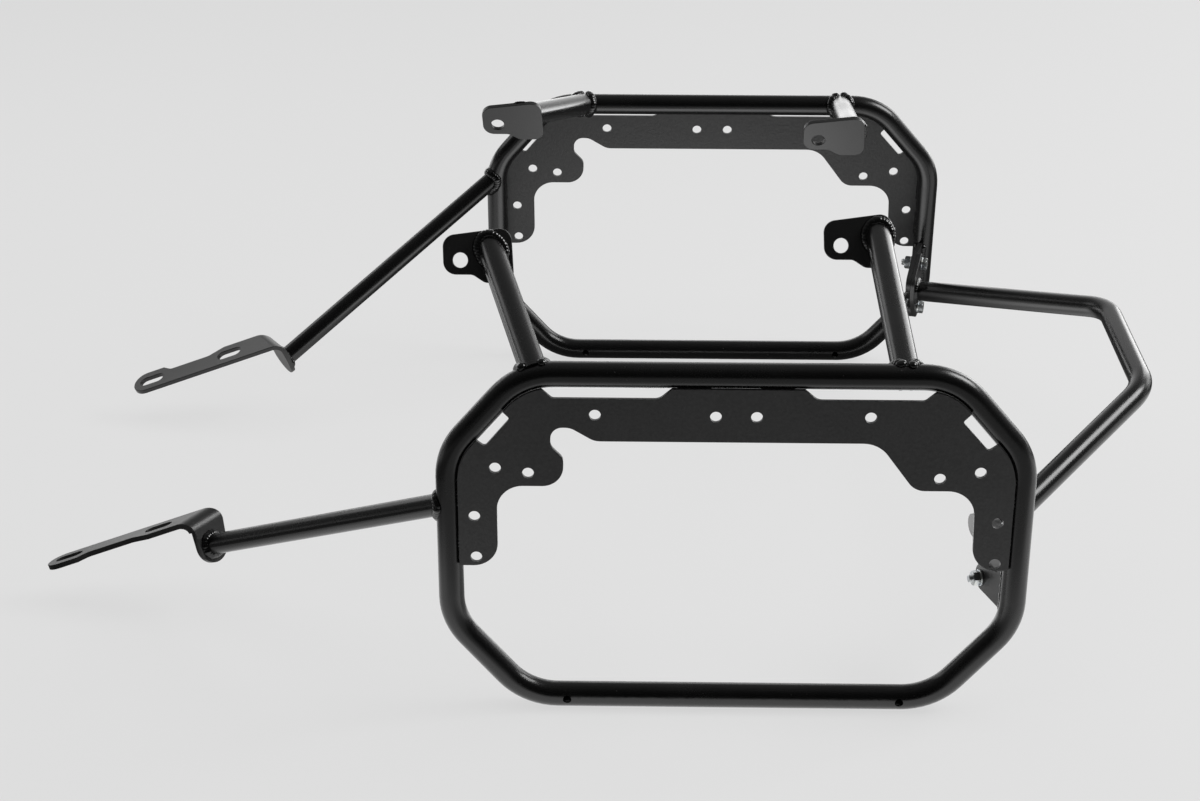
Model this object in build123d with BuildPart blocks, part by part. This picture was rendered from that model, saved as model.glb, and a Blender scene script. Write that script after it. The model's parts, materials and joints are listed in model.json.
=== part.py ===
import os
from math import atan, cos, degrees, radians, sin, sqrt

from build123d import *

# Frame: +X to the rear of the bike, +Y from the left rack to the right rack, +Z up, millimetres,
# origin on the floor under the middle of the whole frame.
os.makedirs("parts", exist_ok=True)

# Tubes
tube_d = 18.0
tube_r = tube_d / 2
tube_wall = 2.0
standoff_d = 19.0
standoff_r = standoff_d / 2
stay_d = 16.0
stay_r = stay_d / 2

# Rack hoop, drawn on its own plane: u along the bike, v up from the axis of the bottom tube
hoop_x = 93.356
hoop_w = 394.6
half_w = hoop_w / 2
hoop_h = 249.4
top_cut_u = 51.0
top_cut_v = 59.0
bottom_cut_u = 52.5
bottom_cut_v = 61.5
bend_r = 48.0
foot_half_width = 291.7
hoop_lean = degrees(atan(0.0474))
drain_d = 6.0
drain_u = (-half_w + 81.3, half_w - 76.3)

# Carrier plate let into the top of the hoop
plate_t = 3.0
plate_clear = 0.05
plate_back = tube_r - plate_t
plate_inset = sqrt(tube_r**2 - plate_back**2) + plate_clear
plate_hole_d = 8.0
plate_foot_front = hoop_h - 141.4
plate_foot_rear = hoop_h - 141.8
plate_strip_v = hoop_h - 45.6
plate_holes = [
    (-half_w + 100.9, hoop_h - 26.2),
    (-14.7, hoop_h - 26.9),
    (12.9, hoop_h - 26.9),
    (half_w - 107.6, hoop_h - 26.5),
    (-half_w + 32.8, hoop_h - 66.3),
    (-half_w + 55.3, hoop_h - 69.9),
    (-half_w + 17.9, hoop_h - 103.3),
    (-half_w + 18.7, hoop_h - 134.7),
    (half_w - 31.0, hoop_h - 66.8),
    (half_w - 58.4, hoop_h - 71.7),
    (half_w - 16.8, hoop_h - 105.1),
    (half_w - 16.5, hoop_h - 136.7),
]
long_notch_drop = 14.2
long_notch_v = hoop_h - long_notch_drop
notch_corner_r = 2.2

# Stand-offs and the ears on their ends
ear_t = 4.0
ear_tilt = 22.0
ear_hole_d = 11.0
ear_rise = 27.6
ear_z = tube_r + hoop_h + ear_rise
left_front_ear_x = -half_w + 1.1
right_front_ear_x = -half_w + 10.6
front_ear_y = foot_half_width - 141.5
rear_ear_x = half_w - 116.5
rear_ear_y = foot_half_width - 174.4
left_front_foot_u = -half_w + 60.3
right_front_foot_u = -half_w + 81.6
rear_foot_u = half_w - 84.0
front_seat_u = 22.5
rear_seat_u = 27.0
seat_v = 7.0

# Stays and slotted brackets at the front
bracket_t = 4.0
bracket_w = 26.0
bracket_waist = 6.0
bracket_len = 132.0
bracket_drop = 39.5
bracket_bend_r = 6.0
bracket_pitch = 20.5
bracket_roll = 12.0
bracket_skew = 31.5
bracket_x = -half_w - 200.0
bracket_y = foot_half_width - 136.5
bracket_z = 78.4
slot_len = 22.0
slot_w = 10.5
slot_near = 38.3
right_fold_back = 9.0
right_bracket_more = 7.0
slot_far = bracket_len - 17.5
stay_seat = 25.5
stay_seat_out = 3.3
stay_seat_r = 14.0
left_stay_z = tube_r + hoop_h - 97.5
right_stay_z = tube_r + hoop_h - 70.7

# Rear bar, its end flanges and the lugs on the rear legs
bar_bend_r = 45.0
bar_corner_x = half_w + 128.0
bar_corner_y = foot_half_width - 216.7
bar_corner_z = 152.2
bar_aim_x = half_w - 6.0
bar_aim_y = foot_half_width - 70.7
bar_aim_z = 102.4
lug_t = 4.0
lug_turn = 15.0
lug_x = half_w - 15.0
lug_y = foot_half_width - 56.7
lug_top = 126.0
lug_bottom = 74.0
lug_arm = 28.0
lug_lobe_r = 9.5
lug_tip_r = 8.5
lug_tip_out = 15.2
lug_tip_z = 110.5
flange_t = 4.0
flange_boss_r = 15.0

# Fasteners that hold the rear bar
bolt_d = 6.0
bolt_clear = 0.4
bolt_top_out = -11.4
bolt_top_z = 119.5
bolt_low_out = -6.0
bolt_low_z = 79.0
head_af = 10.0
head_h = 4.0
nut_h = 5.0
washer_d = 12.0
washer_t = 1.6
bolt_tail = 3.0
thread_clear = 0.1

# Weld beads
bead = 3.2
plate_bead = 2.4
stitch_len = 22.0

lean_c = cos(radians(hoop_lean))
lean_s = sin(radians(hoop_lean))
left_rack = Plane(
    origin=(hoop_x, -foot_half_width, tube_r),
    x_dir=(1, 0, 0),
    z_dir=(0, -lean_c, lean_s),
)
hoop_points = [
    (-half_w + bottom_cut_u, 0),
    (half_w - bottom_cut_u, 0),
    (half_w, bottom_cut_v),
    (half_w, hoop_h - top_cut_v),
    (half_w - top_cut_u, hoop_h),
    (-half_w + top_cut_u, hoop_h),
    (-half_w, hoop_h - top_cut_v),
    (-half_w, bottom_cut_v),
]


# Hoop centre line: one closed run of tube with eight bends
with BuildLine(left_rack) as hoop_line:
    FilletPolyline(*hoop_points, radius=bend_r, close=True)
hoop_path = hoop_line.wires()[0]
hoop_start = Plane(origin=left_rack.from_local_coords((0, 0, 0)), z_dir=(1, 0, 0))

# Solid run of the hoop tube, used to cope what is welded to it
with BuildPart() as hoop_core:
    with BuildSketch(hoop_start):
        Circle(tube_r)
    sweep(path=hoop_path)

# The same run one bead wider: where it crosses a wider copy of a joining tube there is weld
with BuildPart() as hoop_bead:
    with BuildSketch(hoop_start):
        Circle(tube_r + bead)
    sweep(path=hoop_path)

with BuildPart() as hoop_bore:
    with BuildSketch(hoop_start):
        Circle(tube_r - tube_wall)
    sweep(path=hoop_path)

# Left hoop: hollow tube with two small holes drilled across its bottom run
with BuildPart() as left_hoop:
    add(hoop_core.part)
    add(hoop_bore.part, mode=Mode.SUBTRACT)
    with BuildSketch(left_rack):
        with Locations(*[(u, 0) for u in drain_u]):
            Circle(drain_d / 2)
    extrude(amount=tube_d, both=True, mode=Mode.SUBTRACT)
left_hoop.part.label = "left_hoop"
export_step(left_hoop.part, "parts/left_hoop.step")

with BuildPart() as right_hoop:
    mirror(left_hoop.part, about=Plane.XZ)
right_hoop.part.label = "right_hoop"
export_step(right_hoop.part, "parts/right_hoop.step")


# Carrier plate: laser-cut sheet flush with the outside of the hoop. Its rim follows the inside of the
# tube, its lower edge is the traced outline, and four notches leave gaps against the tube. Every corner
# is placed from the legs and the top run, so the plate follows the hoop.
plate_plane = left_rack.offset(plate_back)
past_rim = 2 * tube_d
plate_edge = [
    (-half_w + 84.1, hoop_h - 35.7),
    (-half_w + 71.0, hoop_h - 35.7),
    (-half_w + 70.6, hoop_h - 49.5),
    (-half_w + 79.4, hoop_h - 58.5),
    (-half_w + 79.4, hoop_h - 79.7),
    (-half_w + 33.6, hoop_h - 79.7),
    (-half_w + 33.7, plate_foot_front),
    (-half_w - past_rim, plate_foot_front),
    (-half_w - past_rim, hoop_h + past_rim),
    (half_w + past_rim, hoop_h + past_rim),
    (half_w + past_rim, plate_foot_rear),
    (half_w - 31.8, plate_foot_rear),
    (half_w - 33.8, hoop_h - 80.9),
    (half_w - 75.1, hoop_h - 80.9),
    (half_w - 101.2, plate_strip_v),
    (-half_w + 100.6, plate_strip_v),
]
plate_edge_radii = [12.0, 8.0, 7.0, 8.0, 14.5, 18.0, 17.0, 0, 0, 0, 0, 17.0, 19.0, 13.5, 21.0, 14.0]
front_long_notch = [
    (-half_w + 64.6, hoop_h + past_rim),
    (-half_w + 64.6, hoop_h - 7.4),
    (-half_w + 72.1, long_notch_v),
    (-53.2, long_notch_v),
    (-43.0, hoop_h - 5.4),
    (-43.0, hoop_h + past_rim),
]
rear_long_notch = [
    (43.6, hoop_h + past_rim),
    (43.6, hoop_h - 5.7),
    (53.8, long_notch_v),
    (half_w - 71.7, long_notch_v),
    (half_w - 64.0, hoop_h - 7.4),
    (half_w - 64.0, hoop_h + past_rim),
]
front_slant_notch = [
    (-half_w + 25.6, hoop_h - 11.8),
    (-half_w + 43.4, hoop_h - 29.4),
    (-half_w + 26.1, hoop_h - 50.3),
    (-half_w + 6.1, hoop_h - 35.3),
]
rear_slant_notch = [
    (half_w - 28.4, hoop_h - 11.1),
    (half_w - 45.7, hoop_h - 29.2),
    (half_w - 26.8, hoop_h - 50.6),
    (half_w - 6.8, hoop_h - 35.6),
]
with BuildPart() as left_plate:
    with BuildSketch(plate_plane):
        with BuildLine():
            FilletPolyline(*hoop_points, radius=bend_r, close=True)
        make_face()
        offset(amount=-plate_inset, mode=Mode.REPLACE)
    extrude(amount=plate_t)
    with BuildSketch(plate_plane):
        with BuildLine():
            Polyline(*plate_edge, close=True)
        make_face()
        for corner, radius in zip(plate_edge, plate_edge_radii):
            if radius:
                fillet(vertices().sort_by_distance(corner)[0], radius=radius)
    extrude(amount=plate_t, mode=Mode.INTERSECT)
    with BuildSketch(plate_plane):
        with BuildLine():
            Polyline(*front_long_notch, close=True)
        make_face()
        fillet(vertices().sort_by_distance(front_long_notch[2])[0], radius=4.0)
        fillet(vertices().sort_by_distance(front_long_notch[3])[0], radius=8.0)
    extrude(amount=plate_t, mode=Mode.SUBTRACT)
    with BuildSketch(plate_plane):
        with BuildLine():
            Polyline(*rear_long_notch, close=True)
        make_face()
        fillet(vertices().sort_by_distance(rear_long_notch[2])[0], radius=8.0)
        fillet(vertices().sort_by_distance(rear_long_notch[3])[0], radius=4.0)
    extrude(amount=plate_t, mode=Mode.SUBTRACT)
    with BuildSketch(plate_plane):
        with BuildLine():
            Polyline(*front_slant_notch, close=True)
        make_face()
        for corner in front_slant_notch[1:3]:
            fillet(vertices().sort_by_distance(corner)[0], radius=notch_corner_r)
    extrude(amount=plate_t, mode=Mode.SUBTRACT)
    with BuildSketch(plate_plane):
        with BuildLine():
            Polyline(*rear_slant_notch, close=True)
        make_face()
        for corner in rear_slant_notch[1:3]:
            fillet(vertices().sort_by_distance(corner)[0], radius=notch_corner_r)
    extrude(amount=plate_t, mode=Mode.SUBTRACT)
    with BuildSketch(plate_plane):
        with Locations(*plate_holes):
            Circle(plate_hole_d / 2)
    extrude(amount=plate_t, mode=Mode.SUBTRACT)
left_plate.part.label = "left_plate"
export_step(left_plate.part, "parts/left_plate.step")

with BuildPart() as right_plate:
    mirror(left_plate.part, about=Plane.XZ)
right_plate.part.label = "right_plate"
export_step(right_plate.part, "parts/right_plate.step")


# Ears: one stamping used four times, tilted up at the top, welded on the inboard end of each stand-off.
# Drawn around its bolt hole, u to the rear and v up the plate. The right front ear sits further back than
# the left one, so it is drawn on its own and mirrored across.
ear_out = (0, -cos(radians(ear_tilt)), sin(radians(ear_tilt)))
front_ear_plane = Plane(
    origin=(hoop_x + left_front_ear_x, -front_ear_y, ear_z), x_dir=(1, 0, 0), z_dir=ear_out
)
right_front_ear_plane = Plane(
    origin=(hoop_x + right_front_ear_x, -front_ear_y, ear_z), x_dir=(1, 0, 0), z_dir=ear_out
)
rear_ear_plane = Plane(origin=(hoop_x + rear_ear_x, -rear_ear_y, ear_z), x_dir=(1, 0, 0), z_dir=ear_out)
ear_corners = [(-13.0, 17.4), (36.5, 24.2), (39.0, -16.3), (18.0, -16.3), (9.0, -10.5), (-12.0, -10.5)]
ear_radii = [9.0, 9.0, 8.0, 7.0, 7.0, 9.5]

with BuildSketch() as ear_outline:
    Polygon(*ear_corners, align=None)
    for corner, radius in zip(ear_corners, ear_radii):
        fillet(vertices().sort_by_distance(corner)[0], radius=radius)

with BuildSketch() as ear_face:
    add(ear_outline.sketch)
    Circle(ear_hole_d / 2, mode=Mode.SUBTRACT)

with BuildPart() as left_front_ear:
    with BuildSketch(front_ear_plane):
        add(ear_face.sketch)
    extrude(amount=-ear_t)
left_front_ear.part.label = "left_front_ear"
export_step(left_front_ear.part, "parts/left_front_ear.step")

with BuildPart() as left_rear_ear:
    with BuildSketch(rear_ear_plane):
        add(ear_face.sketch)
    extrude(amount=-ear_t)
left_rear_ear.part.label = "left_rear_ear"
export_step(left_rear_ear.part, "parts/left_rear_ear.step")

with BuildPart() as right_front_ear_drawn:
    with BuildSketch(right_front_ear_plane):
        add(ear_face.sketch)
    extrude(amount=-ear_t)

with BuildPart() as right_front_ear:
    mirror(right_front_ear_drawn.part, about=Plane.XZ)
right_front_ear.part.label = "right_front_ear"
export_step(right_front_ear.part, "parts/right_front_ear.step")

with BuildPart() as right_rear_ear:
    mirror(left_rear_ear.part, about=Plane.XZ)
right_rear_ear.part.label = "right_rear_ear"
export_step(right_rear_ear.part, "parts/right_rear_ear.step")


# Stand-offs: short tubes coped over the top run of the hoop and mitred to the outboard face of the ear
front_foot = left_rack.from_local_coords((left_front_foot_u, hoop_h, 0))
front_seat = front_ear_plane.from_local_coords((front_seat_u, seat_v, 0))
front_axis = Plane(origin=front_foot, z_dir=front_seat - front_foot)
right_front_foot = left_rack.from_local_coords((right_front_foot_u, hoop_h, 0))
right_front_seat = right_front_ear_plane.from_local_coords((front_seat_u, seat_v, 0))
right_front_axis = Plane(origin=right_front_foot, z_dir=right_front_seat - right_front_foot)
rear_foot = left_rack.from_local_coords((rear_foot_u, hoop_h, 0))
rear_seat = rear_ear_plane.from_local_coords((rear_seat_u, seat_v, 0))
rear_axis = Plane(origin=rear_foot, z_dir=rear_seat - rear_foot)
standoff_run = 200.0

with BuildPart() as left_front_standoff:
    with BuildSketch(front_axis):
        Circle(standoff_r)
        Circle(standoff_r - tube_wall, mode=Mode.SUBTRACT)
    extrude(amount=standoff_run)
    split(bisect_by=front_ear_plane, keep=Keep.TOP)
    add(hoop_core.part, mode=Mode.SUBTRACT)
left_front_standoff.part.label = "left_front_standoff"
export_step(left_front_standoff.part, "parts/left_front_standoff.step")

with BuildPart() as left_rear_standoff:
    with BuildSketch(rear_axis):
        Circle(standoff_r)
        Circle(standoff_r - tube_wall, mode=Mode.SUBTRACT)
    extrude(amount=standoff_run)
    split(bisect_by=rear_ear_plane, keep=Keep.TOP)
    add(hoop_core.part, mode=Mode.SUBTRACT)
left_rear_standoff.part.label = "left_rear_standoff"
export_step(left_rear_standoff.part, "parts/left_rear_standoff.step")

with BuildPart() as right_front_standoff_drawn:
    with BuildSketch(right_front_axis):
        Circle(standoff_r)
        Circle(standoff_r - tube_wall, mode=Mode.SUBTRACT)
    extrude(amount=standoff_run)
    split(bisect_by=right_front_ear_plane, keep=Keep.TOP)
    add(hoop_core.part, mode=Mode.SUBTRACT)

with BuildPart() as right_front_standoff:
    mirror(right_front_standoff_drawn.part, about=Plane.XZ)
right_front_standoff.part.label = "right_front_standoff"
export_step(right_front_standoff.part, "parts/right_front_standoff.step")

with BuildPart() as right_rear_standoff:
    mirror(left_rear_standoff.part, about=Plane.XZ)
right_rear_standoff.part.label = "right_rear_standoff"
export_step(right_rear_standoff.part, "parts/right_rear_standoff.step")


# Welds of the stand-offs: a saddle bead round each foot and a flat bead round each ear end, which stops
# at the rim of the ear
with BuildPart() as front_foot_bead:
    with BuildSketch(front_axis):
        Circle(standoff_r + bead)
        Circle(standoff_r, mode=Mode.SUBTRACT)
    extrude(amount=tube_d + bead)
    add(hoop_bead.part, mode=Mode.INTERSECT)
    add(hoop_core.part, mode=Mode.SUBTRACT)

with BuildPart() as right_front_foot_bead:
    with BuildSketch(right_front_axis):
        Circle(standoff_r + bead)
        Circle(standoff_r, mode=Mode.SUBTRACT)
    extrude(amount=tube_d + bead)
    add(hoop_bead.part, mode=Mode.INTERSECT)
    add(hoop_core.part, mode=Mode.SUBTRACT)

with BuildPart() as rear_foot_bead:
    with BuildSketch(rear_axis):
        Circle(standoff_r + bead)
        Circle(standoff_r, mode=Mode.SUBTRACT)
    extrude(amount=tube_d + bead)
    add(hoop_bead.part, mode=Mode.INTERSECT)
    add(hoop_core.part, mode=Mode.SUBTRACT)

with BuildPart() as front_ear_bead:
    with BuildSketch(front_axis):
        Circle(standoff_r + bead)
        Circle(standoff_r, mode=Mode.SUBTRACT)
    extrude(amount=standoff_run)
    with BuildSketch(front_ear_plane):
        add(ear_outline.sketch)
    extrude(amount=bead, mode=Mode.INTERSECT)

with BuildPart() as right_front_ear_bead:
    with BuildSketch(right_front_axis):
        Circle(standoff_r + bead)
        Circle(standoff_r, mode=Mode.SUBTRACT)
    extrude(amount=standoff_run)
    with BuildSketch(right_front_ear_plane):
        add(ear_outline.sketch)
    extrude(amount=bead, mode=Mode.INTERSECT)

with BuildPart() as rear_ear_bead:
    with BuildSketch(rear_axis):
        Circle(standoff_r + bead)
        Circle(standoff_r, mode=Mode.SUBTRACT)
    extrude(amount=standoff_run)
    with BuildSketch(rear_ear_plane):
        add(ear_outline.sketch)
    extrude(amount=bead, mode=Mode.INTERSECT)

with BuildPart() as left_standoff_welds:
    add(front_foot_bead.part)
    add(rear_foot_bead.part)
    add(front_ear_bead.part)
    add(rear_ear_bead.part)
left_standoff_welds.part.label = "left_standoff_welds"
export_step(left_standoff_welds.part, "parts/left_standoff_welds.step")

with BuildPart() as right_standoff_welds:
    mirror(right_front_foot_bead.part, about=Plane.XZ)
    mirror(rear_foot_bead.part, about=Plane.XZ)
    mirror(right_front_ear_bead.part, about=Plane.XZ)
    mirror(rear_ear_bead.part, about=Plane.XZ)
right_standoff_welds.part.label = "right_standoff_welds"
export_step(right_standoff_welds.part, "parts/right_standoff_welds.step")


# Front brackets: a slotted strip folded down at its rear end along a skewed line, so that the folded end
# faces the stay. The fold is drawn from the side, x across the fold line and y down through the sheet.
pitch_c = cos(radians(bracket_pitch))
pitch_s = sin(radians(bracket_pitch))
roll_c = cos(radians(bracket_roll))
roll_s = sin(radians(bracket_roll))
skew_c = cos(radians(bracket_skew))
skew_s = sin(radians(bracket_skew))
strip_way = Vector(-pitch_c, 0, -pitch_s)
strip_out = Vector(-pitch_s * roll_s, -roll_c, pitch_c * roll_s)
half_strip = bracket_w / 2
half_fold = half_strip / skew_c


def fold_plane(back):
    """Side view of a fold that lies this far behind the left one."""
    return Plane(
        origin=Vector(hoop_x + bracket_x, -bracket_y, bracket_z) - strip_way * back,
        x_dir=strip_way * skew_c - strip_out * skew_s,
        z_dir=strip_out * skew_c + strip_way * skew_s,
    )


def end_plane(fold_side):
    """Rear face of the folded end: x along the fold line, y down."""
    return Plane(origin=fold_side.origin, x_dir=fold_side.z_dir, z_dir=-fold_side.x_dir)


def folded_bracket(fold_side, more):
    """A left bracket whose strip is longer by this much between the fold and the slots."""
    strip_plane = Plane(origin=fold_side.origin, x_dir=strip_way, z_dir=-fold_side.y_dir)
    strip_len = bracket_len + more
    near = slot_near + more
    far = slot_far + more
    fold = [
        (0, 0),
        (strip_len + bracket_w, 0),
        (strip_len + bracket_w, bracket_t),
        (bracket_t, bracket_t),
        (bracket_t, bracket_drop + bracket_t),
        (0, bracket_drop + bracket_t),
    ]
    waist = [
        (near + 6.2, half_strip),
        (near + 21.0, half_strip - bracket_waist),
        (far - 18.0, half_strip - bracket_waist),
        (far - 10.6, half_strip),
        (far - 10.6, bracket_w),
        (near + 6.2, bracket_w),
    ]
    with BuildPart() as bracket:
        with BuildSketch(fold_side):
            Polygon(*fold, align=None)
            fillet(vertices().sort_by_distance((0, 0))[0], radius=bracket_bend_r + bracket_t)
            fillet(vertices().sort_by_distance((bracket_t, bracket_t))[0], radius=bracket_bend_r)
        extrude(amount=strip_len, both=True)
        with BuildSketch(strip_plane):
            with Locations(((strip_len - bracket_w) / 2, 0)):
                Rectangle(strip_len + bracket_w, bracket_w)
            fillet(vertices().sort_by(Axis.X)[-2:], radius=half_strip - 0.5)
        extrude(amount=2 * bracket_drop, both=True, mode=Mode.INTERSECT)
        with BuildSketch(end_plane(fold_side)):
            with Locations((0, bracket_t + bracket_bend_r)):
                Rectangle(2 * half_fold, 2.0)
            with Locations((stay_seat_out, bracket_drop - stay_seat_r)):
                Circle(stay_seat_r)
            make_hull()
            with Locations((0, bracket_t + bracket_bend_r - bracket_w)):
                Rectangle(2 * strip_len, 2 * bracket_w)
        extrude(amount=2 * strip_len, both=True, mode=Mode.INTERSECT)
        with BuildSketch(strip_plane):
            Polygon(*waist, align=None)
            fillet(vertices().sort_by_distance(waist[1])[0], radius=9.0)
            fillet(vertices().sort_by_distance(waist[2])[0], radius=6.0)
        extrude(amount=-bracket_t, mode=Mode.SUBTRACT)
        with BuildSketch(strip_plane):
            with Locations((near, 0), (far, 0)):
                SlotOverall(slot_len, slot_w)
        extrude(amount=-bracket_t, mode=Mode.SUBTRACT)
    return bracket.part


left_fold = fold_plane(0.0)
right_fold = fold_plane(right_fold_back)

with BuildPart() as left_bracket:
    add(folded_bracket(left_fold, 0.0))
left_bracket.part.label = "left_bracket"
export_step(left_bracket.part, "parts/left_bracket.step")

with BuildPart() as right_bracket:
    mirror(folded_bracket(right_fold, right_bracket_more), about=Plane.XZ)
right_bracket.part.label = "right_bracket"
export_step(right_bracket.part, "parts/right_bracket.step")


# Stays: tubes from the front legs down to the folded ends of the brackets. The right one starts higher
# on its leg than the left one, so each is drawn on its own and the right one is mirrored across.
stay_run = 320.0
left_end_plane = end_plane(left_fold)
right_end_plane = end_plane(right_fold)
left_stay_end = left_end_plane.from_local_coords((stay_seat_out, stay_seat, 0))
right_stay_end = right_end_plane.from_local_coords((stay_seat_out, stay_seat, 0))
left_stay_foot = left_rack.from_local_coords((-half_w, (left_stay_z - tube_r) / lean_c, 0))
right_stay_foot = left_rack.from_local_coords((-half_w, (right_stay_z - tube_r) / lean_c, 0))
left_stay_axis = Plane(origin=left_stay_foot, z_dir=left_stay_end - left_stay_foot)
right_stay_axis = Plane(origin=right_stay_foot, z_dir=right_stay_end - right_stay_foot)

with BuildPart() as left_stay:
    with BuildSketch(left_stay_axis):
        Circle(stay_r)
        Circle(stay_r - tube_wall, mode=Mode.SUBTRACT)
    extrude(amount=stay_run)
    split(bisect_by=left_end_plane, keep=Keep.TOP)
    add(hoop_core.part, mode=Mode.SUBTRACT)
left_stay.part.label = "left_stay"
export_step(left_stay.part, "parts/left_stay.step")

with BuildPart() as right_stay_drawn:
    with BuildSketch(right_stay_axis):
        Circle(stay_r)
        Circle(stay_r - tube_wall, mode=Mode.SUBTRACT)
    extrude(amount=stay_run)
    split(bisect_by=right_end_plane, keep=Keep.TOP)
    add(hoop_core.part, mode=Mode.SUBTRACT)

with BuildPart() as right_stay:
    mirror(right_stay_drawn.part, about=Plane.XZ)
right_stay.part.label = "right_stay"
export_step(right_stay.part, "parts/right_stay.step")


# Welds of the stays: a saddle bead on the leg and a flat bead on the bracket
with BuildPart() as left_stay_foot_bead:
    with BuildSketch(left_stay_axis):
        Circle(stay_r + bead)
        Circle(stay_r, mode=Mode.SUBTRACT)
    extrude(amount=2 * tube_d)
    add(hoop_bead.part, mode=Mode.INTERSECT)
    add(hoop_core.part, mode=Mode.SUBTRACT)

with BuildPart() as left_stay_end_bead:
    with BuildSketch(left_stay_axis):
        Circle(stay_r + bead)
        Circle(stay_r, mode=Mode.SUBTRACT)
    extrude(amount=stay_run)
    split(bisect_by=left_end_plane, keep=Keep.TOP)
    split(bisect_by=left_end_plane.offset(bead), keep=Keep.BOTTOM)

with BuildPart() as left_stay_welds:
    add(left_stay_foot_bead.part)
    add(left_stay_end_bead.part)
left_stay_welds.part.label = "left_stay_welds"
export_step(left_stay_welds.part, "parts/left_stay_welds.step")

with BuildPart() as right_stay_foot_bead:
    with BuildSketch(right_stay_axis):
        Circle(stay_r + bead)
        Circle(stay_r, mode=Mode.SUBTRACT)
    extrude(amount=2 * tube_d)
    add(hoop_bead.part, mode=Mode.INTERSECT)
    add(hoop_core.part, mode=Mode.SUBTRACT)

with BuildPart() as right_stay_end_bead:
    with BuildSketch(right_stay_axis):
        Circle(stay_r + bead)
        Circle(stay_r, mode=Mode.SUBTRACT)
    extrude(amount=stay_run)
    split(bisect_by=right_end_plane, keep=Keep.TOP)
    split(bisect_by=right_end_plane.offset(bead), keep=Keep.BOTTOM)

with BuildPart() as right_stay_welds:
    mirror(right_stay_foot_bead.part, about=Plane.XZ)
    mirror(right_stay_end_bead.part, about=Plane.XZ)
right_stay_welds.part.label = "right_stay_welds"
export_step(right_stay_welds.part, "parts/right_stay_welds.step")


# Plate welds: short stitches in the corner behind the plate, on the inboard side
leg_stitches = [
    (-half_w + tube_r, hoop_h - 124.4),
    (-half_w + tube_r, hoop_h - 84.4),
    (half_w - tube_r, hoop_h - 116.4),
    (half_w - tube_r, hoop_h - 81.4),
]
top_stitches = [(-28.0, hoop_h - tube_r), (28.0, hoop_h - tube_r)]
with BuildPart() as stitch_run:
    with BuildSketch(hoop_start):
        Circle(tube_r + plate_bead)
    sweep(path=hoop_path)

with BuildPart() as left_plate_welds:
    with BuildSketch(plate_plane):
        with Locations(*leg_stitches):
            Rectangle(tube_d, stitch_len)
        with Locations(*top_stitches):
            Rectangle(stitch_len, tube_d)
    extrude(amount=-plate_bead)
    add(stitch_run.part, mode=Mode.INTERSECT)
    add(hoop_core.part, mode=Mode.SUBTRACT)
left_plate_welds.part.label = "left_plate_welds"
export_step(left_plate_welds.part, "parts/left_plate_welds.step")

with BuildPart() as right_plate_welds:
    mirror(left_plate_welds.part, about=Plane.XZ)
right_plate_welds.part.label = "right_plate_welds"
export_step(right_plate_welds.part, "parts/right_plate_welds.step")


# Lugs: flat plates standing inboard from the rear legs, coped to the tube, with an upper arm that
# ends in a rounded tip and a lower arm round the low bolt. Drawn with x inboard and y up.
turn_c = cos(radians(lug_turn))
turn_s = sin(radians(lug_turn))
lug_plane = Plane(origin=(hoop_x + lug_x, -lug_y, 0), x_dir=(-turn_s, turn_c, 0), z_dir=(turn_c, turn_s, 0))
lug_root = -(foot_half_width - lug_y) / turn_c + 8.0
bolt_points = [(bolt_top_out, bolt_top_z), (bolt_low_out, bolt_low_z)]
bolt_hole_r = (bolt_d + bolt_clear) / 2

with BuildPart() as left_lug:
    with BuildSketch(lug_plane):
        with Locations((lug_root + tube_r / 2, lug_top - lug_arm / 2)):
            Rectangle(tube_r, lug_arm)
        with Locations(bolt_points[0]):
            Circle(lug_lobe_r)
        with Locations((lug_tip_out, lug_tip_z)):
            Circle(lug_tip_r)
        make_hull()
    extrude(amount=lug_t / 2, both=True)
    with BuildSketch(lug_plane):
        with Locations((lug_root + tube_r / 2, lug_bottom + lug_arm / 2)):
            Rectangle(tube_r, lug_arm)
        with Locations(bolt_points[1]):
            Circle(lug_lobe_r)
        make_hull()
    extrude(amount=lug_t / 2, both=True)
    with BuildSketch(lug_plane):
        with Locations(*bolt_points):
            Circle(bolt_hole_r)
    extrude(amount=lug_t / 2, both=True, mode=Mode.SUBTRACT)
    add(hoop_core.part, mode=Mode.SUBTRACT)
left_lug.part.label = "left_lug"
export_step(left_lug.part, "parts/left_lug.step")

with BuildPart() as right_lug:
    mirror(left_lug.part, about=Plane.XZ)
right_lug.part.label = "right_lug"
export_step(right_lug.part, "parts/right_lug.step")

# Lug welds: a bead down each face of the lug where it meets the leg
with BuildPart() as left_lug_welds:
    with BuildSketch(lug_plane):
        with Locations((lug_root + tube_r, (lug_top + lug_bottom) / 2)):
            Rectangle(tube_d, lug_top - lug_bottom)
    extrude(amount=lug_t / 2 + bead, both=True)
    add(hoop_bead.part, mode=Mode.INTERSECT)
    add(hoop_core.part, mode=Mode.SUBTRACT)
    add(left_lug.part, mode=Mode.SUBTRACT)
left_lug_welds.part.label = "left_lug_welds"
export_step(left_lug_welds.part, "parts/left_lug_welds.step")

with BuildPart() as right_lug_welds:
    mirror(left_lug_welds.part, about=Plane.XZ)
right_lug_welds.part.label = "right_lug_welds"
export_step(right_lug_welds.part, "parts/right_lug_welds.step")


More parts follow.
